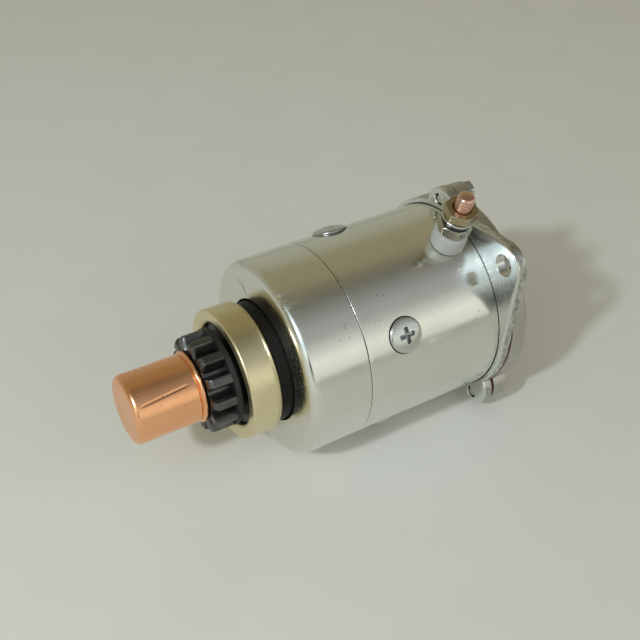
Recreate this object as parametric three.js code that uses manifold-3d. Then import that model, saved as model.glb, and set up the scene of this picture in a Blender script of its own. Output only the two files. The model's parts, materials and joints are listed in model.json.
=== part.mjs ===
// Inertia-drive starter motor with a flange at its commutator end. Millimetres, +Z up.
// The motor's axis is +X, pinion at the -X end. It is built upright along +Z and laid down, and the
// origin is then moved to where the axis meets the front face of the mounting flange.
// A clock angle is measured round the axis from straight up towards -Y.
import * as THREE from 'three';
import { mergeVertices } from 'three/addons/utils/BufferGeometryUtils.js';
import Module from 'manifold-3d';

const wasm = await Module();
wasm.setup();

// Driving dimensions
const GAP = 0.3;             // clearance between pieces that touch
const BODY_R = 38;           // outside of the housing and yoke
const YOKE_IN = 34.4;        // inside of the yoke
const NOSE_L = 23.5;         // drive-end housing
const FLANGE_X = 80.8;       // front face of the mounting flange
const FLANGE_T = 4.0;
const COVER_END = 93;        // back face of the rear cover
const RIM_R = 40;            // round part of the flange and of the cover
const LUG_R = 47;            // centre of a mounting lug's round end
const LUG_END = 9.8;
const LUG_HOLE = 4.2;
const HOLE_R = 48.9;         // distance of the lug holes from the axis
const LUGS = [46, 226];
const EARS = [{ at: -4, r: 38.5, end: 8.5, screw: -6 }, { at: 138, r: 38.6, end: 8.4, screw: 141 }];
const COVER_EARS = [{ at: -5, r: 38.9, end: 7.4 }, { at: 138, r: 38.6, end: 8.4 }];
const EAR_SCREW_R = 42;      // distance of the cover screws from the axis
const EAR_HOLE = 2.4;
const POLES = [62, 152, 242, 332];
const POLE_X = 39.9;         // station of the pole screws
const TERMINAL = { x: 71.5, at: 21 };
const STUD_R = 3.175;
const NUT_AF = 11.3;
const TEETH = 13;
const PINION_R = 18.3;
const ROOT_R = 13.4;
const TEETH_X = [-28, -19.4];
const SHELL_R = 24.9;        // yellow clutch shell
const SHELL_X = [-16.7, -5];
const LIP_R = 19.8;           // inside of the shell's front lip
const NECK_R = 23.1;
const CAP_R = 12.8;
const CAP_X = [-54.5, -28.4];
const SHAFT_R = 6;
const CORE_R = 24;
const CORE_X = [27.5, 52.5];
const COMM_R = 15;
const COMM_X = [60.5, 76];
const BOLTS = [107, 287];
const BOLT_RING = 31.2;
const PLATE_X = [16.5, 19];  // intermediate bearing plate
const BRUSH_X = 68.5;

// Sides of round pieces, from the largest to the smallest
const FINE = 48;
const MID = 32;
const SMALL = 24;
const LOW = 16;

const motor = new THREE.Group();
motor.name = 'starter_motor';
motor.rotation.y = Math.PI / 2;
motor.position.x = -FLANGE_X;
const deg = (a) => (a * Math.PI) / 180;
const clock = (a) => deg(a + 180);

// Materials
const paint = (color, roughness, metalness) =>
  new THREE.MeshStandardMaterial({ color, roughness, metalness });
const LOOKS = {
  zinc: [0xb4b6b0, 0.28, 1], steel: [0x9a9a98, 0.4, 1], yellow_zinc: [0xb0a268, 0.35, 1],
  black_oxide: [0x3a3a3c, 0.5, 0.8], copper: [0xc4764c, 0.25, 1], nylon: [0xb0b2ae, 0.55, 0],
  gasket: [0x6a3426, 0.9, 0], cast: [0x9fa19d, 0.5, 1], iron: [0x6c6a68, 0.6, 0.9],
  insulation: [0x7a4a2a, 0.8, 0], bronze: [0xa8803c, 0.4, 1], carbon: [0x2c2a2a, 0.7, 0.2],
  phenolic: [0x4a2c1c, 0.6, 0],
};

// Closed solid from any closed geometry: welded, and turned outwards if it is inside out.
function weld(geometry) {
  const g = geometry.clone();
  g.deleteAttribute('normal');
  g.deleteAttribute('uv');
  const merged = mergeVertices(g, 1e-4);
  const p = merged.attributes.position;
  const idx = [...merged.index.array];
  const tris = [];
  for (let i = 0; i < idx.length; i += 3) {
    const [a, b, c] = idx.slice(i, i + 3);
    if (a !== b && b !== c && a !== c) tris.push(a, b, c);
  }
  let volume = 0;
  const [va, vb, vc] = [new THREE.Vector3(), new THREE.Vector3(), new THREE.Vector3()];
  for (let i = 0; i < tris.length; i += 3) {
    va.fromBufferAttribute(p, tris[i]);
    vb.fromBufferAttribute(p, tris[i + 1]);
    vc.fromBufferAttribute(p, tris[i + 2]);
    volume += va.dot(vb.cross(vc));
  }
  if (volume < 0) {
    for (let i = 0; i < tris.length; i += 3) [tris[i + 1], tris[i + 2]] = [tris[i + 2], tris[i + 1]];
  }
  merged.setIndex(tris);
  return merged;
}
function solid(geometry) {
  const g = weld(geometry);
  const mesh = new wasm.Mesh({
    numProp: 3,
    vertProperties: new Float32Array(g.attributes.position.array),
    triVerts: new Uint32Array(g.index.array),
  });
  return new wasm.Manifold(mesh);
}
function geometryOf(m) {
  const { vertProperties, triVerts } = m.getMesh();
  const g = new THREE.BufferGeometry();
  g.setAttribute('position', new THREE.BufferAttribute(new Float32Array(vertProperties), 3));
  g.setIndex(new THREE.BufferAttribute(new Uint32Array(triVerts), 1));
  return g;
}

// Adds a named piece to a group.
function add(group, name, shape, look) {
  const g = shape.getMesh ? geometryOf(shape) : weld(shape);
  const mesh = new THREE.Mesh(g, paint(...LOOKS[look]));
  mesh.geometry.computeVertexNormals();
  mesh.name = name;
  mesh.userData.look = look;
  group.add(mesh);
  return mesh;
}
// A group at a station along the axis, turned to a clock angle: its own +X points outwards there.
function station(parent, x, at) {
  const g = new THREE.Group();
  g.position.z = x;
  g.rotation.z = clock(at);
  parent.add(g);
  return g;
}

// Turned piece: closed profile of [station, radius] pairs.
function turned(profile, segments = MID) {
  const points = [...profile, profile[0]].map(([x, r]) => new THREE.Vector2(r, x));
  return new THREE.LatheGeometry(points, segments).rotateX(Math.PI / 2);
}
function tube(x0, x1, inner, outer, segments = MID) {
  return turned([[x0, inner], [x0, outer], [x1, outer], [x1, inner]], segments);
}
// Solid rod with chamfered ends.
function rod(x0, x1, r, chamfer = 0.4, segments = LOW) {
  const points = [[x0, 0], [x0, r - chamfer], [x0 + chamfer, r], [x1 - chamfer, r], [x1, r - chamfer],
      [x1, 0]];
  return new THREE.LatheGeometry(points.map(([x, y]) => new THREE.Vector2(y, x)), segments)
    .rotateX(Math.PI / 2);
}
function slab(shape, x0, x1, curveSegments = 24) {
  return new THREE.ExtrudeGeometry(shape, { depth: x1 - x0, bevelEnabled: false, curveSegments })
    .translate(0, 0, x0);
}
const polar = (r, a) => new THREE.Vector2(r * Math.cos(clock(a)), r * Math.sin(clock(a)));
// Turns a shape built along +Z so that it points outwards along +X.
const outward = (g) => g.rotateY(Math.PI / 2);
// Carries a shape from a station's own frame into the motor's.
const placed = (g, x, at) => g.rotateZ(clock(at)).translate(0, 0, x);

// Convex outline round the rim circle and a lug's end circle, one for each lug.
function lugOutline(at) {
  const points = [];
  const swing = Math.acos((RIM_R - LUG_END) / LUG_R);
  const c = clock(at);
  for (let i = 0; i <= 14; i++) {
    const t = c - swing + (2 * swing * i) / 14;
    points.push([LUG_R * Math.cos(c) + LUG_END * Math.cos(t), LUG_R * Math.sin(c) + LUG_END * Math.sin(t)]);
  }
  for (let i = 1; i < 40; i++) {
    const t = c + swing + ((2 * Math.PI - 2 * swing) * i) / 40;
    points.push([RIM_R * Math.cos(t), RIM_R * Math.sin(t)]);
  }
  return new THREE.Shape(points.map(([x, y]) => new THREE.Vector2(x, y)));
}
function earBlock(ear, x0, x1, grow = 0) {
  return rod(x0, x1, ear.end + grow, 0.3, SMALL).translate(...polar(ear.r, ear.at).toArray(), 0);
}
const drill = (x0, x1, r, at, radius, n = LOW) =>
  solid(rod(x0, x1, r, 0.001, n).translate(...polar(radius, at).toArray(), 0));

// Drive-end housing: a smooth cup with a rounded front edge and a round mouth for the clutch neck.
{
  const edge = 3.6, wall = 3.4, face = 5;
  const profile = [[0, NECK_R + 0.6], [0, BODY_R - edge]];
  for (let i = 1; i <= 5; i++) {
    const t = (i / 5) * (Math.PI / 2);
    profile.push([edge - edge * Math.cos(t), BODY_R - edge + edge * Math.sin(t)]);
  }
  profile.push([NOSE_L, BODY_R], [NOSE_L, BODY_R - wall], [face + 3, BODY_R - wall], [face,
      BODY_R - wall - 3]);
  profile.push([face, NECK_R + 3.4], [8.5, NECK_R + 3.4], [8.5, NECK_R + 0.6]);
  let housing = solid(turned(profile, FINE));
  for (const at of BOLTS) {
    const boss = solid(rod(4, PLATE_X[0] - GAP, 4.8, 0.3, LOW).translate(...polar(BOLT_RING,
        at).toArray(), 0));
    housing = housing.add(boss.intersect(solid(tube(3, NOSE_L, 26.9, BODY_R - 1, MID))));
    housing = housing.subtract(drill(8, NOSE_L, 2.8, at, BOLT_RING, 14));
  }
  add(motor, 'drive_end_housing', housing, 'zinc');
}

// Yoke: steel tube that carries the pole pieces and passes through the flange plate it is welded to.
{
  let yoke = solid(tube(NOSE_L + GAP, FLANGE_X + FLANGE_T, YOKE_IN, BODY_R, FINE));
  const seat = [[30, 0], [30, 3.5], [35, 3.5], [37, 6.85], [42, 6.85], [42, 0]];
  for (const at of POLES) {
    const hole = new THREE.LatheGeometry(seat.map(([x, r]) => new THREE.Vector2(r, x)), LOW);
    yoke = yoke.subtract(solid(placed(outward(hole.rotateX(Math.PI / 2)), POLE_X, at)));
  }
  const passage = placed(outward(rod(30, 42, 5.5, 0.01, LOW)), TERMINAL.x, TERMINAL.at);
  add(motor, 'yoke', yoke.subtract(solid(passage)), 'zinc');
}

// Mounting flange: cut plate with two bored lugs and two small ears.
{
  let plate = solid(slab(lugOutline(LUGS[0]), FLANGE_X, FLANGE_X + FLANGE_T));
  plate = plate.add(solid(slab(lugOutline(LUGS[1]), FLANGE_X, FLANGE_X + FLANGE_T)));
  for (const ear of EARS) plate = plate.add(solid(earBlock(ear, FLANGE_X, FLANGE_X + FLANGE_T)));
  for (const ear of EARS) plate = plate.subtract(drill(75, 90, EAR_HOLE, ear.screw, EAR_SCREW_R, LOW));
  plate = plate.subtract(solid(rod(75, 90, BODY_R + GAP, 0.001, FINE)));
  for (const at of LUGS) plate = plate.subtract(drill(75, 90, LUG_HOLE, at, HOLE_R, MID));
  add(motor, 'mounting_flange', plate, 'zinc');
}

// Gasket and rear cover, both held by the cover screws through the ears.
const GASKET_X = FLANGE_X + FLANGE_T + GAP;
const COVER_X = GASKET_X + 0.5 + GAP;
{
  let sheet = solid(rod(GASKET_X, GASKET_X + 0.5, RIM_R - 0.5, 0.02, FINE));
  for (const ear of COVER_EARS) {
    sheet = sheet.add(solid(earBlock({ ...ear, end: ear.end - 0.9 }, GASKET_X, GASKET_X + 0.5, 0)));
  }
  sheet = sheet.subtract(solid(rod(GASKET_X - 1, GASKET_X + 2, 34.6, 0.001, FINE)));
  for (const ear of EARS) sheet = sheet.subtract(drill(80, 90, EAR_HOLE, ear.screw, EAR_SCREW_R, LOW));
  add(motor, 'flange_gasket', sheet, 'gasket');

  const profile = [[COVER_X, 34], [COVER_X, RIM_R], [COVER_END - 1.2, RIM_R], [COVER_END, RIM_R - 1.2],
    [COVER_END, 13], [COVER_END + 3.5, 11.6], [COVER_END + 3.5, 0], [94.6, 0], [94.6, 8.3], [87, 8.3],
    [87, 11.5], [90, 13], [90, 32.5]];
  let cover = solid(new THREE.LatheGeometry([...profile.slice(7), ...profile.slice(0, 7)]
    .map(([x, r]) => new THREE.Vector2(r, x)), FINE).rotateX(Math.PI / 2));
  for (const ear of COVER_EARS) cover = cover.add(solid(earBlock(ear, COVER_X, COVER_END - 0.8)));
  const hollow = solid(rod(80, 89.8, 32.5, 0.001, FINE)).subtract(solid(rod(70, 95, 13.4, 0.001, SMALL)));
  cover = cover.subtract(hollow);
  for (const ear of EARS) cover = cover.subtract(drill(80, 96, EAR_HOLE, ear.screw, EAR_SCREW_R, LOW));
  for (const at of BOLTS) cover = cover.subtract(drill(80, 96, 2.8, at, BOLT_RING, 14));
  add(motor, 'rear_cover', cover, 'cast');
}

// Hex-headed bolt along the motor's axis with its head at the back.
function axialBolt(name, x0, r, headAf, high, at, radius) {
  const head = solid(turnedHex(headAf, COVER_END + GAP, COVER_END + GAP + high));
  const shank = solid(rod(x0, COVER_END + 2, r, 0.4, 14));
  const bolt = geometryOf(head.add(shank)).translate(...polar(radius, at).toArray(), 0);
  add(motor, name, bolt, 'steel');
}
// Hexagon prism with turned, chamfered corners at both ends.
function turnedHex(af, x0, x1, hole = 0) {
  const shape = new THREE.Shape();
  const corner = af / Math.sqrt(3);
  for (let i = 0; i < 6; i++) {
    const t = (i * Math.PI) / 3;
    shape[i ? 'lineTo' : 'moveTo'](corner * Math.cos(t), corner * Math.sin(t));
  }
  if (hole) shape.holes.push(new THREE.Path().absarc(0, 0, hole, 0, 2 * Math.PI, true));
  const c = corner - af / 2;
  const trim = turned([[x0, 0], [x0, af / 2], [x0 + c * 0.6, corner + 0.01], [x1 - c * 0.6, corner + 0.01],
    [x1, af / 2], [x1, 0]], SMALL);
  return geometryOf(solid(slab(shape, x0, x1, 10)).intersect(solid(trim)));
}
axialBolt('cover_screw_upper', FLANGE_X + 0.5, 2, 7, 2.2, EARS[0].screw, EAR_SCREW_R);
axialBolt('cover_screw_lower', FLANGE_X + 0.5, 2, 7, 2.2, EARS[1].screw, EAR_SCREW_R);
BOLTS.forEach((at, i) => axialBolt(`through_bolt_${i + 1}`, 10, 2.5, 8, 3.2, at, BOLT_RING));

// Intermediate bearing plate with its bush.
{
  let plate = solid(tube(...PLATE_X, 8.6, 34.2, MID)).add(solid(tube(16.2, PLATE_X[1] + 0.6, 8.6, 11.5,
      SMALL)));
  for (const at of BOLTS) plate = plate.subtract(drill(10, 25, 2.8, at, BOLT_RING, 14));
  add(motor, 'bearing_plate', plate, 'steel');
  add(motor, 'front_bush', tube(16.3, PLATE_X[1] + 0.4, SHAFT_R + GAP, 8.3, SMALL), 'bronze');
  add(motor, 'rear_bush', tube(87, 94, 5 + GAP, 8, SMALL), 'bronze');
}

// Poles: shoe with its stem, the coil round the stem, and the cross-recessed screw through the yoke.
POLES.forEach((at, i) => {
  const n = i + 1;
  const box = (w, h, x) => new THREE.BoxGeometry(x, w, h);
  const sector = new THREE.Shape();
  const [inner, outer, half] = [CORE_R + 0.7, CORE_R + 3.2, deg(34)];
  sector.absarc(0, 0, outer, -half, half, false);
  sector.absarc(0, 0, inner, half, -half, true);
  const arc = solid(slab(sector, -11.5, 11.5, 7));
  const stem = solid(box(15, 17, 12).translate(31, 0, 0)).intersect(solid(rod(-20, 20, YOKE_IN - GAP,
      0.01, FINE)));
  let shoe = arc.add(stem);
  shoe = shoe.subtract(solid(outward(rod(28, 40, 3.3, 0.01, LOW))));
  add(motor, `pole_shoe_${n}`, geometryOf(shoe.rotate([0, 0, at + 180]).translate([0, 0, POLE_X])), 'iron');

  const outline = (w, h, r) => {
    const s = new THREE.Shape();
    s.absarc(w - r, h - r, r, 0, Math.PI / 2).absarc(r - w, h - r, r, Math.PI / 2, Math.PI);
    return s.absarc(r - w, r - h, r, Math.PI, 1.5 * Math.PI).absarc(w - r, r - h, r, 1.5 * Math.PI,
        2 * Math.PI);
  };
  const ring = solid(outward(slab(outline(12.4, 13.4, 4), 24, 36, 3)))
    .subtract(solid(outward(slab(outline(9, 7.9, 1.2), 20, 40, 1))));
  const coil = ring.intersect(solid(tube(-20, 20, outer + GAP, YOKE_IN - 0.4, MID)));
  add(motor, `field_coil_${n}`, geometryOf(coil.rotate([0, 0, at + 180]).translate([0, 0, POLE_X])),
      'insulation');

  const head = [[29.6, 0], [29.6, 2.7], [30, 3], [34.9, 3], [37.2, 6.5], [38.1, 6.5]];
  for (let k = 1; k <= 3; k++) {
    const t = (k / 3) * (Math.PI / 2);
    head.push([38.1 + 1.7 * Math.sin(t), k === 3 ? 0 : 6.5 * Math.cos(t)]);
  }
  let screw = solid(outward(new THREE.LatheGeometry(head.map(([x, r]) => new THREE.Vector2(r, x)), LOW)
    .rotateX(Math.PI / 2)));
  for (const turn of [30, 120]) {
    const slot = new THREE.BoxGeometry(4, 1.3, 7).rotateX(deg(turn)).translate(39.9, 0, 0);
    screw = screw.subtract(solid(slot));
  }
  add(motor, `pole_screw_${n}`, geometryOf(screw.rotate([0, 0, at + 180]).translate([0, 0, POLE_X])),
      'steel');
});

// Terminal: headed stud through the yoke, insulated inside and out, with its nuts and washers.
{
  const t = station(motor, TERMINAL.x, TERMINAL.at);
  const lift = (g) => outward(g);
  const skirt = solid(lift(turned([[36, STUD_R + GAP], [36, 6.5], [43.6, 6.5], [44.6, 6.2], [45.3, 5.7],
    [45.5, 5.2], [45.5, STUD_R + GAP]], SMALL))).subtract(solid(rod(-30, 30, BODY_R + GAP, 0.01, FINE)));
  const spigot = solid(lift(tube(36.4, 41, STUD_R + GAP, 5.1, LOW)));
  add(t, 'terminal_insulator_outer', skirt.add(spigot), 'nylon');
  add(t, 'terminal_insulator_inner', lift(turned([[31.2, STUD_R + GAP], [31.2, 6.6], [33.3, 6.6], [33.3, 5.1],
    [36.1, 5.1], [36.1, STUD_R + GAP]], LOW)), 'phenolic');
  const stud = solid(lift(rod(28, 63.5, STUD_R, 0.5, LOW))).add(solid(new THREE.BoxGeometry(3.4, 9,
      9).translate(29.2, 0, 0)));
  add(t, 'terminal_stud', stud, 'copper');
  const nut = (x0, x1, turn) => lift(turnedHex(NUT_AF, x0, x1, STUD_R + GAP).rotateZ(deg(turn)));
  add(t, 'terminal_nut_lower', nut(45.8, 50.2, 8), 'steel');
  add(t, 'terminal_lock_washer', lift(tube(50.5, 52, STUD_R + GAP, 5.6, LOW)), 'black_oxide');
  add(t, 'terminal_washer', lift(tube(52.3, 53.3, STUD_R + GAP, 6, LOW)), 'steel');
  add(t, 'terminal_nut_upper', nut(53.6, 57.4, 22), 'yellow_zinc');
  const strip = new THREE.BoxGeometry(1.2, 5, 13).translate(30, 0, -11.9);
  add(t, 'terminal_lead', strip, 'copper');
}

// Brush plate with four boxes, and in each a carbon brush and its coil spring.
const BOX = { wide: 8.7, deep: 10.7, wall: 1.2, from: 17, to: 31.7 };
{
  let plate = solid(tube(BRUSH_X + 6.3, BRUSH_X + 8.3, COMM_R + 1.2, 33.8, MID));
  for (const at of BOLTS) plate = plate.subtract(drill(70, 80, 2.9, at, BOLT_RING, 14));
  plate = plate.subtract(drill(70, 80, 8.6, TERMINAL.at, 33.2, SMALL));
  for (const at of POLES) {
    const length = BOX.to - BOX.from;
    const middle = (BOX.to + BOX.from) / 2;
    const outer = new THREE.BoxGeometry(length, BOX.wide + 2 * BOX.wall, BOX.deep + 2 * BOX.wall);
    const inner = new THREE.BoxGeometry(length, BOX.wide, BOX.deep).translate(middle - BOX.wall, 0, 0);
    const channel = solid(outer.translate(middle, 0, 0)).subtract(solid(inner));
    plate = plate.add(channel.rotate([0, 0, at + 180]).translate([0, 0, BRUSH_X]));
  }
  add(motor, 'brush_plate', plate, 'phenolic');
}
class Helix extends THREE.Curve {
  constructor(x0, x1, r, turns) {
    super();
    Object.assign(this, { x0, x1, r, turns });
  }
  getPoint(t, target = new THREE.Vector3()) {
    const a = 2 * Math.PI * this.turns * t;
    return target.set(this.r * Math.cos(a), this.r * Math.sin(a), this.x0 + (this.x1 - this.x0) * t);
  }
}
function spring(x0, x1, r, wire, turns, steps) {
  const section = new THREE.Shape().absarc(0, 0, wire, 0, 2 * Math.PI, false);
  const path = new Helix(x0 + wire, x1 - wire, r, turns);
  return new THREE.ExtrudeGeometry(section, { steps, extrudePath: path, curveSegments: 3,
      bevelEnabled: false });
}
POLES.forEach((at, i) => {
  const g = station(motor, BRUSH_X, at);
  const face = COMM_R + 0.4;
  add(g, `brush_${i + 1}`, new THREE.BoxGeometry(8, 8, 10).translate(face + 4, 0, 0), 'carbon');
  const coil = spring(face + 8 + GAP, BOX.to - BOX.wall - GAP, 2.7, 0.35, 4, SMALL);
  add(g, `brush_spring_${i + 1}`, outward(coil), 'steel');
});

// Armature: stepped shaft, slotted core, end windings, commutator, thrust washers and the stop nut.
{
  const steps = [[-52, 0], [-52, 4.2], [-51.6, 4.5], [-46.9, 4.5], [-46.9, SHAFT_R], [81.5, SHAFT_R],
    [81.5, 5], [93.6, 5], [94, 4.6], [94, 0]];
  add(motor, 'armature_shaft', new THREE.LatheGeometry(steps.map(([x, r]) => new THREE.Vector2(r, x)), SMALL)
    .rotateX(Math.PI / 2), 'steel');
  // Star outline: full radius between the slots, and the slot floor inside each.
  const slotted = (r, floor, count, width, holeR) => {
    const pts = [];
    for (let i = 0; i < count; i++) {
      const c = (2 * Math.PI * i) / count;
      const step = (2 * Math.PI) / count;
      const edge = Math.asin(width / 2 / r);
      const root = Math.asin(width / 2 / floor);
      for (const t of [c + edge, c + step / 2, c + step - edge]) pts.push([r * Math.cos(t), r * Math.sin(t)]);
      for (const t of [c + step - root, c + step + root]) pts.push([floor * Math.cos(t),
          floor * Math.sin(t)]);
    }
    const shape = new THREE.Shape(pts.map(([x, y]) => new THREE.Vector2(x, y)));
    shape.holes.push(new THREE.Path().absarc(0, 0, holeR, 0, 2 * Math.PI, true));
    return shape;
  };
  const hub = SHAFT_R + GAP;
  add(motor, 'armature_core', slab(slotted(CORE_R, 16, 19, 2.4, hub), ...CORE_X, 16), 'iron');
  const winding = (x0, x1, small, large) => turned([[x0, hub], [x0, small - 3], [x0 + 1.2, small],
    [x1 - 1, large], [x1, large - 1], [x1, hub]], SMALL);
  add(motor, 'front_winding', winding(20.9, CORE_X[0] - GAP, 19, 22), 'copper');
  add(motor, 'rear_winding', winding(-(COMM_X[0] - GAP), -(CORE_X[1] + GAP), 17, 22).rotateX(Math.PI),
      'copper');
  add(motor, 'commutator', slab(slotted(COMM_R, COMM_R - 1.1, 24, 0.6, hub), ...COMM_X, 16), 'copper');
  add(motor, 'front_thrust_washer', tube(19.9, 20.6, hub, 10, LOW), 'steel');
  add(motor, 'rear_thrust_washer', tube(83.8, 85, 5 + GAP, 9, LOW), 'steel');
  add(motor, 'stop_nut', turnedHex(14, -51.4, -47.2, 4.8), 'steel');
  add(motor, 'return_spring', spring(-46.6, -30.4, 7.6, 0.45, 4.5, MID), 'steel');
}

// Drive: yellow shell pressed over the dark clutch body, four rollers and the screw sleeve.
{
  const [s0, s1] = SHELL_X;
  add(motor, 'clutch_shell', turned([[s0 + 1, LIP_R], [s0, LIP_R + 1.2], [s0, SHELL_R - 1.1],
    [s0 + 0.33, SHELL_R - 0.33], [s0 + 1.1, SHELL_R], [s1 - 1.1, SHELL_R], [s1 - 0.33, SHELL_R - 0.33],
    [s1, SHELL_R - 1.1], [s1, 21.6], [s0 + 2.2, 21.6], [s0 + 2.2, LIP_R]], FINE), 'yellow_zinc');
  add(motor, 'clutch_body', turned([[-12.5, 17.3], [-12.5, 21.3], [SHELL_X[1] + GAP, 21.3],
      [SHELL_X[1] + GAP, NECK_R],
    [15.5, NECK_R], [15.5, 10], [9, 10], [9, 17.3]], FINE), 'black_oxide');
  add(motor, 'clutch_washer', tube(-13.9, -12.8, 12.6, 21.2, MID), 'black_oxide');
  for (let i = 0; i < 4; i++) {
    const roller = rod(-12, -3, 2.2, 0.3, 12).translate(...polar(14.75, 10 + 90 * i).toArray(), 0);
    add(motor, `clutch_roller_${i + 1}`, roller, 'steel');
  }
  add(motor, 'screw_sleeve', turned([[4.2, SHAFT_R + GAP], [4.2, 9.7], [7.5, 9.7], [7.5, 15.5], [8.7,
      15.5], [8.7, 9.7],
    [15.2, 9.7], [15.2, SHAFT_R + GAP]], SMALL), 'steel');
}

// Pinion with its shoulder and inner race, and the closed cap on its nose.
{
  const pts = [];
  for (let i = 0; i < TEETH; i++) {
    const c = clock(54 + (360 / TEETH) * i);
    const pitch = (2 * Math.PI) / TEETH;
    const r2 = (PINION_R + ROOT_R) / 2;
    for (const [r, f] of [[ROOT_R, -0.37], [r2, -0.3], [PINION_R - 0.9, -0.2], [PINION_R, -0.155],
        [PINION_R, 0.155],
      [PINION_R - 0.9, 0.2], [r2, 0.3], [ROOT_R, 0.37]]) {
      pts.push(new THREE.Vector2(r * Math.cos(c + f * pitch), r * Math.sin(c + f * pitch)));
    }
  }
  const [x0, x1] = TEETH_X;
  let pinion = solid(slab(new THREE.Shape(pts), x0, x1 + 0.5));
  pinion = pinion.intersect(solid(turned([[x0, 0], [x0, 16.2], [x0 + 1.8, PINION_R + 0.1], [x1 + 1,
      PINION_R + 0.1],
    [x1 + 1, 0]], MID)));
  const core = [[x0 - 2, 0], [x0 - 2, 11.3], [x0 + 0.5, 11.3], [x0 + 0.5, 12.5], [x1, 12.5], [x1, 18],
      [x1 + 0.5, 18.5],
    [x1 + 2.2, 18.5], [x1 + 2.2, 12.2], [3.4, 12.2], [3.4, 0]];
  pinion = pinion.add(solid(new THREE.LatheGeometry(core.map(([x, r]) => new THREE.Vector2(r, x)), MID)
    .rotateX(Math.PI / 2)));
  pinion = pinion.subtract(solid(rod(-40, 10, SHAFT_R + 0.4, 0.001, SMALL)));
  add(motor, 'pinion', pinion, 'black_oxide');

  const [c0, c1] = CAP_X;
  const wall = 1;
  const cup = [[c0, 0], [c0, CAP_R - 2]];
  for (let k = 1; k <= 3; k++) {
    const t = (k / 3) * (Math.PI / 2);
    cup.push([c0 + 2 - 2 * Math.cos(t), CAP_R - 2 + 2 * Math.sin(t)]);
  }
  cup.push([c1 - 1.6, CAP_R], [c1 - 0.8, CAP_R + 0.8], [c1, CAP_R + 0.8], [c1, CAP_R - wall], [c0 + 2.6,
      CAP_R - wall],
    [c0 + 1.4, CAP_R - 2.4], [c0 + 1.4, 0]);
  add(motor, 'pinion_cap', new THREE.LatheGeometry(cup.map(([x, r]) => new THREE.Vector2(r, x)), MID)
    .rotateX(Math.PI / 2), 'copper');
}

export default motor;
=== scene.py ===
import json

import bpy
import bmesh
import numpy as np
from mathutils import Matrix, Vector


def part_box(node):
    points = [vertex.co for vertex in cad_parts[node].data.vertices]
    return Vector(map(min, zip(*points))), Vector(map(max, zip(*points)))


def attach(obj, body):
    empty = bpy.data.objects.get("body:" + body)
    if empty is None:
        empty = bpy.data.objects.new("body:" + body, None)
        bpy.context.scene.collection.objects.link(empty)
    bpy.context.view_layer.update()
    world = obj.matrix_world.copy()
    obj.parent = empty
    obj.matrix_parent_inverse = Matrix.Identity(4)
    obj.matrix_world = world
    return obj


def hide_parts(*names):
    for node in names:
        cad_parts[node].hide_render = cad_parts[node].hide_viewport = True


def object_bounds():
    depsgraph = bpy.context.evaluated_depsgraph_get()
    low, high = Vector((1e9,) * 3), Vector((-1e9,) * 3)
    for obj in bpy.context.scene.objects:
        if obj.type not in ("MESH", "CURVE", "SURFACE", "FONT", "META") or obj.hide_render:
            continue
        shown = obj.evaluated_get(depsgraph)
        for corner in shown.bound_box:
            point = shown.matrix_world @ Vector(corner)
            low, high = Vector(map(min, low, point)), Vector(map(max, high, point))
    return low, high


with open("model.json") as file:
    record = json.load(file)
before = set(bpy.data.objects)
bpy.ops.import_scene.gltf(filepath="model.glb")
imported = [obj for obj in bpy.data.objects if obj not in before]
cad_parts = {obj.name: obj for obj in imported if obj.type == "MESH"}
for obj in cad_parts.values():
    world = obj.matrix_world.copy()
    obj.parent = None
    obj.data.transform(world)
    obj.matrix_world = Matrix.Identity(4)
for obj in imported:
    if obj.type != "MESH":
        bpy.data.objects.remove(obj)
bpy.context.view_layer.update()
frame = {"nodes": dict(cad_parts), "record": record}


# Yoke: the drawn steel tube that holds the pole shoes. It is turned outside, plated bright zinc, and bored
# for the four pole screws and for the terminal. The flange plate is welded round its rear end.

MM = 0.001
ROUND = np.radians(np.linspace(0, 360, 289))    # angles round a turned piece, the last the same as the first
BODY_OF = {node: body for body, nodes in frame["record"]["behaviour"]["bodies"].items() for node in nodes}


def reach(node):
    """Stations of a node's two ends and its greatest height above the motor's axis, in mm."""
    low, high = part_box(node)
    return low.x / MM, high.x / MM, high.z / MM


def unit(v):
    """The vector, or each of the vectors, divided by its own length."""
    return v / np.linalg.norm(v, axis=-1, keepdims=True)


def eased(path, cuts, steps=5):
    """Closed path with soft corners. A corner is cut back by its own length along both sides, and the
    curve there is (1-t)^2 before + 2t(1-t) corner + t^2 after. The last point repeats the first."""
    path = np.array(path, float)
    cuts = np.broadcast_to(np.array(cuts, float), len(path))[:, None]
    to_next, to_last = np.roll(path, -1, 0) - path, np.roll(path, 1, 0) - path
    long_next = np.maximum(np.linalg.norm(to_next, axis=1, keepdims=True), 1e-9)
    long_last = np.maximum(np.linalg.norm(to_last, axis=1, keepdims=True), 1e-9)
    after = path + to_next * np.minimum(cuts / long_next, 0.46)
    before = path + to_last * np.minimum(cuts / long_last, 0.46)
    t = np.linspace(0, 1, steps)[None, :, None]
    curve = (1 - t) ** 2 * before[:, None] + 2 * t * (1 - t) * path[:, None] + t ** 2 * after[:, None]
    curve = curve.reshape(-1, 2)
    return np.vstack([curve, curve[:1]])


def turned(rows, angles=ROUND):
    """Surface round the X axis. At station x, radius r and angle a the point is (x, -r sin a, r cos a), so
    the angle runs from +Z towards -Y. A row's station and radius are each one number or one for every
    angle."""
    x = np.array([np.broadcast_to(row[0], angles.shape) for row in rows])
    r = np.array([np.broadcast_to(row[1], angles.shape) for row in rows])
    return np.stack([x, -r * np.sin(angles), r * np.cos(angles)], -1)


def swell(points, size, seed):
    """Smooth unevenness from -1 to 1: the mean of nine sine waves of about that wavelength, each along its
    own direction with its own start."""
    draw = np.random.default_rng(seed)
    along = unit(draw.normal(size=(9, 3))) * (2 * np.pi / size) * draw.uniform(0.6, 1.7, (9, 1))
    return np.sin(points @ along.T + draw.uniform(0, 6.28, 9)).mean(-1) * 1.6


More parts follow.
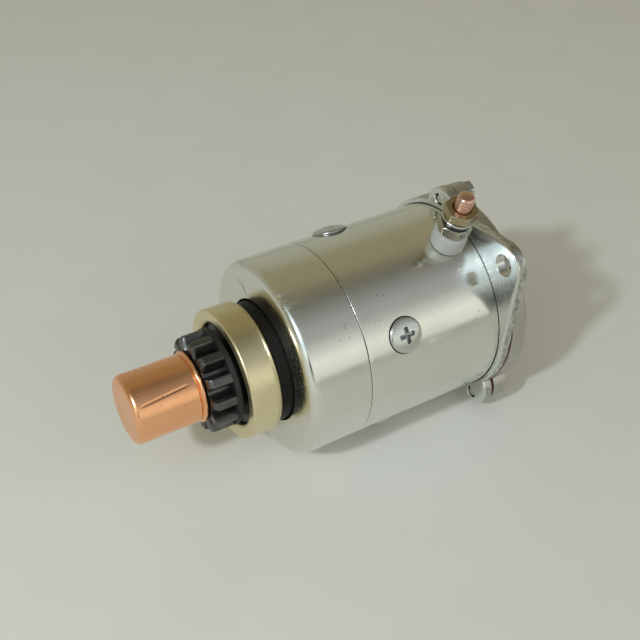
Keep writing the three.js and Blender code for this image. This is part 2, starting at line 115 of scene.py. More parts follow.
def angle_lines(count, sectors):
    """Angles in degrees round the axis, the last a turn after the first. Each sector (middle, half width,
    steps) has its own lines, closer together at its two ends, and the gaps between sectors share out the
    count evenly."""
    sectors = sorted(sectors)
    lines = []
    for n, (at, half, steps) in enumerate(sectors):
        lines.append(at + half * np.sin(np.linspace(-np.pi / 2, np.pi / 2, steps + 1)))
        after = sectors[(n + 1) % len(sectors)]
        end = after[0] - after[1] + (360 if n + 1 == len(sectors) else 0)
        gap = end - (at + half)
        lines.append(np.linspace(at + half, end, max(2, round(count * gap / 360)) + 1)[1:-1])
    lines = np.concatenate(lines)
    return np.append(lines, lines[0] + 360)


def web(loop, radius, steps=7):
    """Flat net between a round hole at (0, 0) and the closed loop round it. Each line runs from the hole's
    edge, straight below its loop point, out to that point. Also gives the lines' directions."""
    turn = np.unwrap(np.arctan2(loop[:, 1], loop[:, 0]))
    rim = radius * np.stack([np.cos(turn), np.sin(turn)], -1)
    t = np.linspace(0, 1, steps)[:, None, None] ** 1.3
    return rim + (loop - rim) * t, turn


def edge_loop(grid):
    """Closed loop of the points round the edge of a grid."""
    return np.concatenate([grid[0], grid[1:, -1], grid[-1, -2::-1], grid[-2::-1, 0]])


def make(name, nodes, grids, material, crease=38, grime_and_shade=None):
    """Welds grids of points, in mm, into one closed mesh in metres. Four neighbours of a grid are a face,
    and a row that is one point closes to a fan. The piece stands for its CAD nodes, rides with the first
    one's body and takes the material it is given. Edges bent more than crease degrees stay sharp.
    grime_and_shade, one array for each grid, is how much each point is darkened, from 0 to 1: stain on
    some pieces, painted shade in recesses, gaps and creases on others."""
    quads, start = [], 0
    for grid in grids:
        rows, columns = grid.shape[:2]
        index = start + np.arange(rows * columns).reshape(rows, columns)
        quads.append(np.stack([index[:-1, :-1], index[1:, :-1], index[1:, 1:], index[:-1, 1:]],
                              -1).reshape(-1, 4))
        start += rows * columns
    mesh = bpy.data.meshes.new(name)
    mesh.from_pydata(np.concatenate([g.reshape(-1, 3) for g in grids]) * MM, [],
                     np.concatenate(quads).tolist())
    dirt_and_shade = mesh.attributes.new("grime_and_shade", "FLOAT", "POINT")
    if grime_and_shade is not None:
        dirt_and_shade.data.foreach_set("value", np.concatenate([g.ravel() for g in grime_and_shade]).astype(np.float32))
    shell = bmesh.new()
    shell.from_mesh(mesh)
    bmesh.ops.remove_doubles(shell, verts=shell.verts, dist=3e-6)
    bmesh.ops.dissolve_degenerate(shell, edges=shell.edges, dist=1e-7)
    bmesh.ops.recalc_face_normals(shell, faces=shell.faces)
    shell.to_mesh(mesh)
    shell.free()
    mesh.polygons.foreach_set("use_smooth", np.ones(len(mesh.polygons), bool))
    mesh.set_sharp_from_angle(angle=np.radians(crease))
    mesh.materials.append(material)
    piece = bpy.data.objects.new(name, mesh)
    bpy.context.scene.collection.objects.link(piece)
    nodes = [nodes] if isinstance(nodes, str) else nodes
    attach(piece, BODY_OF[nodes[0]])
    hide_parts(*nodes)
    return piece


class Finish:
    """A material built up node by node on object coordinates. Each call adds a node and gives its output."""

    def __init__(self, name):
        self.material = bpy.data.materials.new(name)
        self.material.use_nodes = True
        self.tree = self.material.node_tree
        self.shader = self.tree.nodes["Principled BSDF"]
        self.place = self.add("ShaderNodeTexCoord", out="Object")

    def add(self, kind, inputs=None, out=0, **settings):
        node = self.tree.nodes.new(kind)
        for key, value in settings.items():
            setattr(node, key, value)
        self.feed(node, inputs or {})
        return node.outputs[out]

    def feed(self, node, inputs):
        for key, value in inputs.items():
            if isinstance(value, bpy.types.NodeSocket):
                self.tree.links.new(value, node.inputs[key])
            else:
                node.inputs[key].default_value = value

    def noise(self, scale, detail=2.0, stretch=(1, 1, 1), turn=(0, 0, 0), rough=0.5):
        spot = self.add("ShaderNodeMapping", {"Vector": self.place, "Rotation": turn, "Scale": stretch})
        return self.add("ShaderNodeTexNoise", {"Vector": spot, "Scale": scale, "Detail": detail,
                                               "Roughness": rough})

    def ramp(self, value, low, high, start=0.0, end=1.0):
        """Value from low to high becomes start to end, and stays there beyond."""
        return self.add("ShaderNodeMapRange", {"Value": value, "From Min": low, "From Max": high,
                                               "To Min": start, "To Max": end})

    def sum(self, kind, a, b):
        return self.add("ShaderNodeMath", {0: a, 1: b}, operation=kind)

    def mix(self, share, a, b, kind="MIX"):
        return self.add("ShaderNodeMix", {0: share, 6: a, 7: b}, out=2, data_type="RGBA", blend_type=kind)

    def bump(self, height, distance, before=None, strength=1.0):
        inputs = {"Height": height, "Distance": distance, "Strength": strength}
        if before is not None:
            inputs["Normal"] = before
        return self.add("ShaderNodeBump", inputs)

    def done(self, colour, rough, normal, metallic=1.0, **fixed):
        self.feed(self.shader, {"Base Color": colour, "Roughness": rough, "Normal": normal,
                                "Metallic": metallic})
        self.feed(self.shader, {key.replace("_", " "): value for key, value in fixed.items()})
        return self.material


def metal(name, colour, tint, rough, lathe=0.0, grain=0.0, scuffs=0.5, specks=0.3, cloud=30,
          dark=(0.05, 0.05, 0.045)):
    """Worn metal. Colour drifts to the tint in soft clouds, with dark specks and fine scratches. rough is
    the roughness where the metal is cleanest and dullest. lathe and grain are the heights, in micrometres,
    of the turning marks round the axis and of the cast or tumbled skin."""
    f = Finish(name)
    clouds = f.noise(cloud, 4)
    marks = [f.ramp(f.noise(26, 1, (1, 30, 34), (turn, 0.4, turn * 0.7)), 0.655, 0.69)
             for turn in (0.5, 1.9, 2.8)]
    patchy = f.ramp(f.noise(55, 2), 0.47, 0.62)
    scratch = f.sum("MULTIPLY", f.sum("MAXIMUM", marks[0], f.sum("MAXIMUM", marks[1], marks[2])), patchy)
    speck = f.ramp(f.noise(420, 1), 0.735, 0.77)
    base = f.mix(f.ramp(clouds, 0.35, 0.7), (*colour, 1), (*tint, 1))
    base = f.mix(f.sum("MULTIPLY", speck, specks), base, (*dark, 1))
    # The grime_and_shade attribute pulls the colour towards the dark colour: stain on some pieces, painted
    # shade in recesses, gaps and creases on others.
    grime_and_shade = f.add("ShaderNodeAttribute", out="Fac", attribute_name="grime_and_shade")
    base = f.mix(grime_and_shade, base, (*dark, 1))
    shine = f.ramp(f.noise(90, 4, rough=0.65), 0.3, 0.72, rough[0], rough[1])
    shine = f.sum("ADD", shine, f.sum("MULTIPLY", scratch, 0.22 * scuffs))
    shine = f.sum("ADD", shine, f.sum("MULTIPLY", grime_and_shade, 0.3))
    height = f.bump(f.noise(700, 3), (1 + grain) * 1e-6)
    if lathe:
        rings = f.noise(1500, 2, (1, 0.006, 0.006))
        height = f.bump(rings, lathe * 1e-6, height)
    if grain:
        height = f.bump(f.noise(260, 5, rough=0.6), grain * 4e-6, height)
    height = f.bump(f.sum("MULTIPLY", scratch, -1.0), 5e-6 * scuffs, height)
    return f.done(base, shine, height)


ZINC = metal("zinc_bright", (0.80, 0.80, 0.745), (0.76, 0.755, 0.68), (0.13, 0.25), lathe=1.2, scuffs=0.8)

yoke_front, yoke_back, _ = reach("yoke")
SKIN_R, BORE_R = 38.0, 34.4
POLE_AT, POLE_HEAD, POLE_HOLE = (62, 152, 242, 332), 6.85, 3.5
pole_station = sum(reach("pole_screw_1")[:2]) / 2
terminal_low, terminal_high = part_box("terminal_stud")
terminal_station = (terminal_low.x + terminal_high.x) / 2 / MM
TERMINAL_AT, TERMINAL_HOLE = 21, 5.5

yoke_angles = angle_lines(250, [(at, 14.0, 22) for at in POLE_AT] + [(TERMINAL_AT, 11.5, 18)])


def band_lines(middle, half, steps):
    """Stations from middle - half to middle + half, closer together at both ends."""
    return middle + half * np.sin(np.linspace(-np.pi / 2, np.pi / 2, steps + 1))


def on_skin(station, angle, radius):
    """Points of the tube's skin: (station, -radius sin a, radius cos a), with the angle in degrees."""
    station, angle = np.broadcast_arrays(station, np.radians(angle))
    return np.stack([station, -radius * np.sin(angle), radius * np.cos(angle)], -1)


def bored_skin(radius, stations, holes):
    """One band of a tube's skin, with a net of lines round each hole (angle, half angle, hole radius).
    Gives the grids and, for each hole, the directions of its net's lines."""
    grids, directions = [], {}
    middle = (stations[0] + stations[-1]) / 2
    columns, ends = yoke_angles, []
    for at, half, size in sorted(holes):
        first = int(np.argmin(abs((columns - (at - half) + 180) % 360 - 180)))
        last = int(np.argmin(abs((columns - (at + half) + 180) % 360 - 180)))
        ends.append((first, last, at, size))
    ends.sort()
    start = 0
    for first, last, at, size in ends:
        if first > start:
            grids.append(on_skin(stations[:, None], columns[None, start:first + 1], radius))
        s, c = np.meshgrid(stations, columns[first:last + 1], indexing="ij")
        turn_back = round((columns[first] - at) / 360) * 360
        flat = np.stack([s - middle, np.radians(c - at - turn_back) * radius], -1)
        net, directions[at] = web(edge_loop(flat), size)
        grids.append(on_skin(middle + net[..., 0], at + np.degrees(net[..., 1] / radius), radius))
        start = last
    grids.append(on_skin(stations[:, None], columns[None, start:], radius))
    return grids, directions


def radial_bore(middle, at, outside, inside, rows):
    """Wall of a hole bored towards the axis. rows are (height above the axis, hole radius); a height of 0
    stands for the tube's own skin, of radius outside[1] on the first row and inside[1] on the last."""
    wall = []
    for n, (height, size) in enumerate(rows):
        share = n / (len(rows) - 1)
        turn = outside[0] * (1 - share) + inside[0] * share
        along, aside = size * np.cos(turn), size * np.sin(turn)
        if height == 0:
            tube = outside[1] if n == 0 else inside[1]
            aside = tube * np.sin(size * np.sin(turn) / tube)
            height = np.sqrt(tube ** 2 - aside ** 2)
        a = np.radians(at)
        wall.append(np.stack([middle + along + 0 * height, -height * np.sin(a) - aside * np.cos(a),
                              height * np.cos(a) - aside * np.sin(a)], -1))
    return np.array(wall)


pole_band = band_lines(pole_station, 9.3, 20)
terminal_band = band_lines(terminal_station, 7.4, 16)
grids, rims = [], {}
for radius, pole_size in ((SKIN_R, POLE_HEAD), (BORE_R, POLE_HOLE)):
    edge = 0.28 if radius == SKIN_R else 0.0
    pole_holes = [(at, 14.0, pole_size) for at in POLE_AT]
    for stations, holes in ((np.linspace(yoke_front + edge, pole_band[0], 5), []), (pole_band, pole_holes),
                            (np.linspace(pole_band[-1], terminal_band[0], 8), []),
                            (terminal_band, [(TERMINAL_AT, 11.5, TERMINAL_HOLE)]),
                            (np.linspace(terminal_band[-1], yoke_back - edge, 5), [])):
        band, found = bored_skin(radius, stations, holes)
        grids += band
        rims.update({(radius, at): found[at] for at in found})
for at in POLE_AT:
    grids.append(radial_bore(pole_station, at, (rims[SKIN_R, at], SKIN_R), (rims[BORE_R, at], BORE_R),
                             [(0, POLE_HEAD), (37.0, POLE_HEAD), (35.0, POLE_HOLE), (0, POLE_HOLE)]))
grids.append(radial_bore(terminal_station, TERMINAL_AT, (rims[SKIN_R, TERMINAL_AT], SKIN_R),
                         (rims[BORE_R, TERMINAL_AT], BORE_R), [(0, TERMINAL_HOLE), (0, TERMINAL_HOLE)]))
for end, sign in ((yoke_front, 1), (yoke_back, -1)):
    grids.append(turned([(end, BORE_R), (end, SKIN_R - 0.5), (end + sign * 0.06, SKIN_R - 0.16),
                         (end + sign * 0.28, SKIN_R)], np.radians(yoke_angles)))
make("yoke_tube", "yoke", grids, ZINC)


# Drive-end housing: a pressed steel cup, plated with the yoke, with a rolled front edge and a round mouth
# for the clutch neck. The two long bolts pull it against the yoke, which leaves a fine seam.

nose_front, nose_back, _ = reach("drive_end_housing")
MOUTH_R, ROLLED = 23.7, 3.6
nose_wall = [(nose_front, MOUTH_R), (nose_front, SKIN_R), (nose_back + 0.12, SKIN_R),
             (nose_back + 0.12, SKIN_R - 3.4),
             (nose_front + 8, SKIN_R - 3.4), (nose_front + 5, SKIN_R - 6.4), (nose_front + 5, MOUTH_R + 2.8),
             (nose_front + 8.5, MOUTH_R + 2.8), (nose_front + 8.5, MOUTH_R)]
nose_rows = eased(nose_wall, [0.35, ROLLED * 1.12, 0.3, 0.3, 1.5, 1.5, 1.0, 0.4, 0.4], 12)


def face_zinc():
    """The housing's zinc, with two short radial scratches on its front face: a scratch is where a point is
    within a fraction of a millimetre of a line and between its ends."""
    material = ZINC.copy()
    material.name = "zinc_scratched_face"
    f = Finish.__new__(Finish)
    f.material, f.tree = material, material.node_tree
    f.shader = f.tree.nodes["Principled BSDF"]
    f.place = f.add("ShaderNodeTexCoord", out="Object")
    parts = f.tree.nodes.new("ShaderNodeSeparateXYZ")
    f.feed(parts, {0: f.place})
    deep = None
    for (r0, c0), (r1, c1), wide in (((31.7, -31.3), (25.1, -23.1), 0.16),
                                     ((30.4, -26.0), (26.6, -25.2), 0.10)):
        spots = np.radians([c0, c1])
        a, b = np.array([r0, r1])[:, None] * np.stack([-np.sin(spots), np.cos(spots)], -1) * MM
        line, length = unit(b - a), np.linalg.norm(b - a)
        across = f.sum("ADD", f.sum("MULTIPLY", parts.outputs[1], line[1]),
                       f.sum("MULTIPLY", parts.outputs[2], -line[0]))
        across = f.sum("ABSOLUTE", f.sum("SUBTRACT", across, float(a[0] * line[1] - a[1] * line[0])), 0.0)
        along = f.sum("ADD", f.sum("MULTIPLY", parts.outputs[1], line[0]),
                      f.sum("MULTIPLY", parts.outputs[2], line[1]))
        along = f.sum("ABSOLUTE", f.sum("SUBTRACT", along, float((a + b) @ line / 2)), 0.0)
        cut = f.sum("MULTIPLY", f.ramp(across, wide * MM, wide * 2 * MM, 1, 0),
                    f.ramp(along, length * 0.4, length * 0.5, 1, 0))
        deep = cut if deep is None else f.sum("MAXIMUM", deep, cut)
    front = f.ramp(parts.outputs[0], (nose_front + 0.5) * MM, (nose_front + 0.6) * MM, 1, 0)
    deep = f.sum("MULTIPLY", deep, front)
    colour, rough, normal = (f.shader.inputs[k].links[0].from_socket
                             for k in ("Base Color", "Roughness", "Normal"))
    return f.done(f.mix(f.sum("MULTIPLY", deep, 0.75), colour, (0.1, 0.1, 0.09, 1)), rough,
                  f.bump(f.sum("MULTIPLY", deep, -1.0), 6e-5, normal))


make("drive_end_cup", "drive_end_housing", [turned(nose_rows)], face_zinc())


# Mounting flange: a 4 mm steel plate cut in a press, with two bored lugs and two ears for the cover
# screws. The front edge is drawn down by the punch, the cut wall is torn and stained, and the plating is
# smoother and cooler than the body's.

RIM, LUG, EARS = 40.0, (47.0, 9.8), ((-4, 38.5, 8.5, -6), (138, 38.6, 8.4, 141))
LUG_AT, LUG_BORE, LUG_BORE_AT, EAR_BORE, EAR_SCREW_R = (46, 226), 4.2, 48.9, 2.4, 42.0
plate_angles = angle_lines(230, [(at, 12.0, 30) for at in LUG_AT] + [(-4, 12.8, 28), (138, 13.0, 26)])


def plate_edge(angles, rim, lugs=(), ears=()):
    """Edge of a plate in its own plane: radius by angle is the rim, or the lug or ear that reaches
    further. A lug is an end circle joined to the rim by two lines touching both, rim / cos(angle from the
    touching point)."""
    radius = np.full(len(angles), float(rim))
    for at in lugs:
        off = np.radians(abs((angles - at + 180) % 360 - 180))
        swing = np.arccos((rim - LUG[1]) / LUG[0])
        touch = np.arctan2(LUG[1] * np.sin(swing), LUG[0] + LUG[1] * np.cos(swing))
        end = LUG[0] * np.cos(off) + np.sqrt(np.maximum(LUG[1] ** 2 - (LUG[0] * np.sin(off)) ** 2, 0))
        side = rim / np.cos(np.minimum(abs(off - swing), 1.2))
        radius = np.maximum(radius, np.where(off < touch, end, np.where(off < swing, side, 0)))
    for at, middle, size, _ in ears:
        off = np.radians(abs((angles - at + 180) % 360 - 180))
        inside = size ** 2 - (middle * np.sin(off)) ** 2
        end = middle * np.cos(off) + np.sqrt(np.maximum(inside, 0))
        radius = np.maximum(radius, np.where((inside > 0) & (off < 1), end, 0))
    a = np.radians(angles)
    return np.stack([-radius * np.sin(a), radius * np.cos(a)], -1)


def inset(edge, by):
    """The edge moved inwards, square to itself, by that much at each point."""
    ring = edge[:-1]
    run = unit(np.roll(ring, -1, 0) - np.roll(ring, 1, 0))
    outwards = np.stack([run[:, 1], -run[:, 0]], -1)
    outwards *= np.sign((outwards * ring).sum(1, keepdims=True))
    outwards = np.vstack([outwards, outwards[:1]])
    return edge - outwards * np.broadcast_to(by, len(edge))[:, None]


def ring(angles, radius):
    """A circle round the axis in the plate's plane: (-radius sin a, radius cos a), with the angles in
    degrees."""
    a = np.radians(angles)
    return np.stack([-radius * np.sin(a), radius * np.cos(a)], -1)


def flat_face(station, angles, inner, outer, bores, chamfer, steps=8):
    """Flat face of a plate, straight lines from its inner edge to its outer one, with a net of lines round
    each bore. A bore is (middle of its sector, half its width, angle, distance from the axis, radius).
    Also gives the directions of the nets' lines."""
    t = np.linspace(0, 1, steps + 1)[:, None, None]
    flat = inner * (1 - t) + outer * t

    def near(target):
        return int(np.argmin(abs((angles[:-1] - target + 180) % 360 - 180)))

    spans = [(near(m - half), near(m + half), at, out, size) for m, half, at, out, size in bores]
    grids, turns, start = [], {}, 0
    spans = [(a, b if b > a else len(angles) - 1, *rest) for a, b, *rest in spans]
    for first, last, at, out, size in sorted(spans):
        if first > start:
            grids.append(np.insert(flat[:, start:first + 1], 0, station, axis=2))
        centre = ring(np.array([float(at)]), out)[0]
        net, turns[at] = web(edge_loop(flat[:, first:last + 1]) - centre, size + chamfer)
        grids.append(np.insert(net + centre, 0, station, axis=2))
        start = last
    if start < len(angles) - 1:
        grids.append(np.insert(flat[:, start:], 0, station, axis=2))
    return grids, turns


def through_bore(at, out, front, back, rows):
    """Wall of a hole bored along the axis: rows are (station, radius), and its lines turn from the front
    face's directions to the back face's."""
    centre = ring(np.array([float(at)]), out)[0]
    wall = []
    for n, (station, size) in enumerate(rows):
        turn = front + (back - front) * n / (len(rows) - 1)
        wall.append(np.stack([np.full(len(turn), float(station)), centre[0] + size * np.cos(turn),
                              centre[1] + size * np.sin(turn)], -1))
    return np.array(wall)


def edge_wall(edge, rows, torn=0.0, seed=3):
    """Outer wall of a plate: rows are (station, inset). torn is how far the cut metal stands in and out,
    in mm."""
    wall = []
    middle = (rows[0][0] + rows[-1][0]) / 2
    for n, (station, by) in enumerate(rows):
        base = np.concatenate([np.full((len(edge), 1), float(station)), inset(edge, by)], 1)
        if torn and 0 < n < len(rows) - 1:
            rough = 0.6 * swell(base, 1.6, seed) + 0.4 * swell(base, 0.6, seed + 1)
            share = np.clip((station - rows[0][0]) / max(middle - rows[0][0], 1e-6), 0, 1)
            base[:, 1:] = inset(edge, by + torn * share * (0.6 + rough))
        wall.append(base)
    return np.array(wall)


flange_front, flange_back, _ = reach("mounting_flange")
flange_edge = plate_edge(plate_angles, RIM, LUG_AT, EARS)
drawn_down = ((0, 0.75), (0.08, 0.42), (0.3, 0.17), (0.7, 0.04))    # depth behind the front face, inset
flange_rows = [(flange_front + deep, by) for deep, by in drawn_down]
flange_rows += [(flange_front + deep, 0) for deep in (1.2, 1.7, 2.2, 2.7, 3.1, 3.5)]
flange_rows += [(flange_back - 0.15, 0.02), (flange_back, 0.25)]
WELD_R = SKIN_R + 0.3                       # bore of the plate, where it meets the yoke
flange_in = ring(plate_angles, WELD_R)


def bored_plate(front, back, angles, inner, edge, insets, bores, chamfer):
    """Both flat faces of a plate and the walls of its bores, each with a small chamfer at both ends."""
    grids, front_turns = flat_face(front, angles, inner, inset(edge, insets[0]), bores, chamfer)
    back_grids, back_turns = flat_face(back, angles, inner, inset(edge, insets[1]), bores, chamfer)
    for _, _, at, out, size in bores:
        grids.append(through_bore(at, out, front_turns[at], back_turns[at],
                                  [(front, size + chamfer), (front + chamfer, size), (back - chamfer, size),
                                   (back, size + chamfer)]))
    return grids + back_grids


ear_bores = [(EARS[0][0], 12.8, EARS[0][3], EAR_SCREW_R, EAR_BORE),
             (EARS[1][0], 13.0, EARS[1][3], EAR_SCREW_R, EAR_BORE)]
lug_bores = [(at, 12.0, at, LUG_BORE_AT, LUG_BORE) for at in LUG_AT]
FLANGE_ZINC = metal("zinc_flange", (0.76, 0.785, 0.77), (0.71, 0.725, 0.69), (0.14, 0.22), scuffs=0.35,
                    specks=0.1, dark=(0.15, 0.135, 0.085))
grids = bored_plate(flange_front, flange_back, plate_angles, flange_in, flange_edge, (0.75, 0.25),
                    ear_bores + lug_bores, 0.12)
dirt_and_shade = [np.zeros(grid.shape[:2]) for grid in grids]
wall = edge_wall(flange_edge, flange_rows, torn=0.22)
cut = np.clip((wall[..., 0] - flange_front - 0.5) / 0.8, 0, 1)
dirt_and_shade.append(cut * np.clip(0.42 + 0.4 * swell(wall, 3.0, 11), 0, 0.85))
grids.append(wall)
grids.append(turned([(flange_front, WELD_R), (flange_back, WELD_R)], np.radians(plate_angles)))
dirt_and_shade.append(np.zeros(grids[-1].shape[:2]))
make("flange_plate", "mounting_flange", grids, FLANGE_ZINC, grime_and_shade=dirt_and_shade)


# Gasket: a sheet of red-brown gasket paper clamped between the flange and the cover. It is cut by hand, so
# that its edge wanders and shows in places.

gasket_front, gasket_back, _ = reach("flange_gasket")
GASKET_IN = 34.6
COVER_EARS = ((-5, 38.9, 7.4, -6), (138, 38.6, 8.4, 141))
cover_angles = angle_lines(230, [(-4, 12.8, 28), (138, 13.0, 26)])
f = Finish("gasket_paper")
fibre = f.noise(900, 4, (1, 1, 1), rough=0.7)
PAPER = f.done(f.mix(f.ramp(fibre, 0.35, 0.65), (0.30, 0.085, 0.05, 1), (0.16, 0.05, 0.035, 1)), 0.88,
               f.bump(fibre, 4e-5), metallic=0.0)
gasket_ears = [(at, out, size - 0.9, screw) for at, out, size, screw in COVER_EARS]
gasket_edge = plate_edge(cover_angles, RIM - 0.5, (), gasket_ears)
loose = np.insert(gasket_edge, 0, 0, axis=1)
gasket_edge = inset(gasket_edge, -0.15 - 0.25 * swell(loose, 26, 7))
gasket_edge[-1] = gasket_edge[0]
grids = bored_plate(gasket_front, gasket_back, cover_angles, ring(cover_angles, GASKET_IN), gasket_edge,
                    (0.05, 0.05), ear_bores, 0.02)
grids.append(edge_wall(gasket_edge, [(gasket_front, 0.05), ((gasket_front + gasket_back) / 2, 0),
                                     (gasket_back, 0.05)]))
grids.append(turned([(gasket_front, GASKET_IN), (gasket_back, GASKET_IN)], np.radians(cover_angles)))
make("gasket_sheet", "flange_gasket", grids, PAPER)


# Rear cover: an aluminium casting, tumbled and left bare, with a blind boss for the rear bush and two ears
# for the cover screws.

cover_front, boss_back, _ = reach("rear_cover")
cover_back, COVER_EDGE, BOSS = boss_back - 3.5, 1.3, (13.2, 11.4)
HOLLOW_R = 32.5
cover_edge = plate_edge(cover_angles, RIM, (), COVER_EARS)
CAST = metal("aluminium_cast", (0.54, 0.53, 0.485), (0.46, 0.435, 0.385), (0.3, 0.46), grain=7, scuffs=0.6,
             specks=0.7)


back_face, back_turns = flat_face(cover_back, cover_angles, ring(cover_angles, BOSS[0]),
                                  inset(cover_edge, COVER_EDGE),
                                 ear_bores, 0.3, 14)
front_face, front_turns = flat_face(cover_front, cover_angles, ring(cover_angles, HOLLOW_R),
                                    inset(cover_edge, 0.4),
                                   ear_bores, 0.3, 14)
grids = back_face + front_face
for _, _, at, out, size in ear_bores:
    grids.append(through_bore(at, out, front_turns[at], back_turns[at],
                              [(cover_front, size + 0.3), (cover_front + 0.3, size),
                               (cover_back - 0.3, size), (cover_back, size + 0.3)]))
bend = np.linspace(0, np.pi / 2, 7)
cover_rows = [(cover_front, 0.4), (cover_front + 0.15, 0.12), (cover_front + 0.45, 0)]
cover_rows += [(s, 0) for s in np.linspace(cover_front + 1, cover_back - COVER_EDGE - 0.4, 6)]
cover_rows += [(cover_back - COVER_EDGE * (1 - np.sin(b)), COVER_EDGE * (1 - np.cos(b))) for b in bend]
grids.append(edge_wall(cover_edge, cover_rows, torn=0.05, seed=11))
inner_rows = [(cover_front, HOLLOW_R), (cover_back - 3.2, HOLLOW_R), (cover_back - 3.2, 13.4),
              (cover_back - 6, 11.5), (cover_back - 6, 8.3), (boss_back - 1.9, 8.3), (boss_back - 1.9, 0)]
boss_rows = [(cover_back, BOSS[0]), (cover_back + 0.12, BOSS[0] - 0.35), (cover_back + 0.5, BOSS[0] - 0.7),
             (boss_back - 0.9, BOSS[1] + 0.35), (boss_back - 0.35, BOSS[1] + 0.12),
             (boss_back - 0.05, BOSS[1] - 0.45),
             (boss_back, BOSS[1] - 1.2), (boss_back, 5.5), (boss_back - 0.35, 3.2), (boss_back - 0.4, 0)]
grids += [turned(inner_rows, np.radians(cover_angles)), turned(boss_rows, np.radians(cover_angles))]
make("rear_cover_casting", "rear_cover", grids, CAST)


# Cover screws and long through bolts: plated steel, with forged hexagon heads that are turned to a chamfer
# at the outer face and stand on a washer face.

STEEL = metal("steel_plated", (0.70, 0.70, 0.66), (0.60, 0.59, 0.53), (0.2, 0.34), lathe=2.0, scuffs=0.7)
HEX = np.radians(np.concatenate([np.arange(6)[:, None] * 60
                                 + np.array([0, 1, 2, 4, 8, 14, 22, 30, 38, 46, 52, 56, 58, 59])
                                 ]).ravel())
HEX = np.append(HEX, 2 * np.pi)


def hexagon(flats, turn=0.0):
    """Radius of a hexagon by angle, (flats / 2) / cos(angle from the middle of the nearest side), with its
    corners just broken."""
    off = (np.degrees(HEX) + turn) % 60 - 30
    corner = flats / np.sqrt(3)
    return np.minimum(flats / 2 / np.cos(np.radians(off)), corner - 0.1)


def hex_rows(flats, start, end, chamfers=(True, True), slope=0.55):
    """Rows of a hexagon from start to end. A chamfer is a cone that starts a little inside the flats at
    the face, and where it is smaller than the hexagon it is the surface, which leaves the curved edges of
    a turned head."""
    side = hexagon(flats)
    high = end - start
    rows = []
    for s in np.concatenate([np.linspace(0, 0.26, 12), [0.35, 0.5, 0.65], np.linspace(0.74, 1, 12)]):
        cone = np.full(len(HEX), 99.0)
        if chamfers[0]:
            cone = np.minimum(cone, flats / 2 - 0.15 + s * high / slope)
        if chamfers[1]:
            cone = np.minimum(cone, flats / 2 - 0.15 + (1 - s) * high / slope)
        rows.append((start + s * high, np.minimum(side, cone)))
    return rows


def shifted(grid, at, out):
    """The grid moved off the axis to an angle and distance round it."""
    return grid + np.array([0, *ring(np.array([float(at)]), out)[0]])


def hex_bolt(name, node, at, out, shank, flats=8.0, deep=3.2):
    low, high, _ = reach(node)
    head = high - deep
    rows = [(low, 0), (low, shank - 0.4), (low + 0.4, shank), (head, shank), (head, flats / 2 - 0.2),
            (head + 0.25, flats / 2 - 0.2)] + hex_rows(flats, head + 0.25, high, (False, True))
    rows += [(high - 0.02, flats / 2 - 0.6), (high - 0.25, flats / 2 - 1.5), (high - 0.3, 0)]
    make(name, node, [shifted(turned(rows, HEX), at, out)], STEEL)


hex_bolt("cover_bolt_upper", "cover_screw_upper", EARS[0][3], EAR_SCREW_R, 2.0, 7.0, 2.2)
hex_bolt("cover_bolt_lower", "cover_screw_lower", EARS[1][3], EAR_SCREW_R, 2.0, 7.0, 2.2)
BOLT_AT, BOLT_RING = (107, 287), 31.2
for number, at in enumerate(BOLT_AT, 1):
    hex_bolt(f"long_bolt_{number}", f"through_bolt_{number}", at, BOLT_RING, 2.5)


# Pole screws: countersunk steel screws with low domed heads and a cross recess, zinc plated. Each pulls a
# pole shoe against the inside of the yoke.

SCREW_ZINC = metal("zinc_screw", (0.67, 0.70, 0.70), (0.61, 0.62, 0.58), (0.14, 0.26), scuffs=0.9,
                   specks=0.5, cloud=120)
HEAD_R, HEAD_LOW, HEAD_TOP = 6.5, 38.1, 39.8
AROUND = np.radians(np.linspace(0, 360, 193))


def ramp_down(value, start, end):
    """1 up to the start, 0 beyond the end, and 1 - t^2 (3 - 2t) between them."""
    t = np.clip((value - start) / (end - start), 0, 1)
    return 1 - t * t * (3 - 2 * t)


def outward(grid, station, at):
    """A grid made along +X, turned to stand out from the axis at that station and angle. Its own +Z then
    points along the motor's +X."""
    a = np.radians(at)
    out, aside = np.array([0, -np.sin(a), np.cos(a)]), np.array([0, -np.cos(a), -np.sin(a)])
    along = np.array([1.0, 0, 0])
    return grid[..., :1] * out + grid[..., 1:2] * aside + grid[..., 2:] * along + np.array([station, 0, 0])


def cross_recess(r, angle, turn):
    """Depth of a cross recess at radius r: four arms, each as deep as its own fall to the middle, with
    sloped sides and ends, and a cone at the centre."""
    depth = 0
    for arm in range(4):
        a = angle - np.radians(turn + 90 * arm)
        aside, along = r * np.abs(np.sin(a)), r * np.cos(a)
        cut = ramp_down(aside, 0.58, 0.86) * ramp_down(along, 2.65, 3.2) * (along > -0.3)
        depth = np.maximum(depth, cut * (2.5 - 0.42 * r))
    return np.maximum(depth, 2.4 * ramp_down(r, 0.5, 1.35))


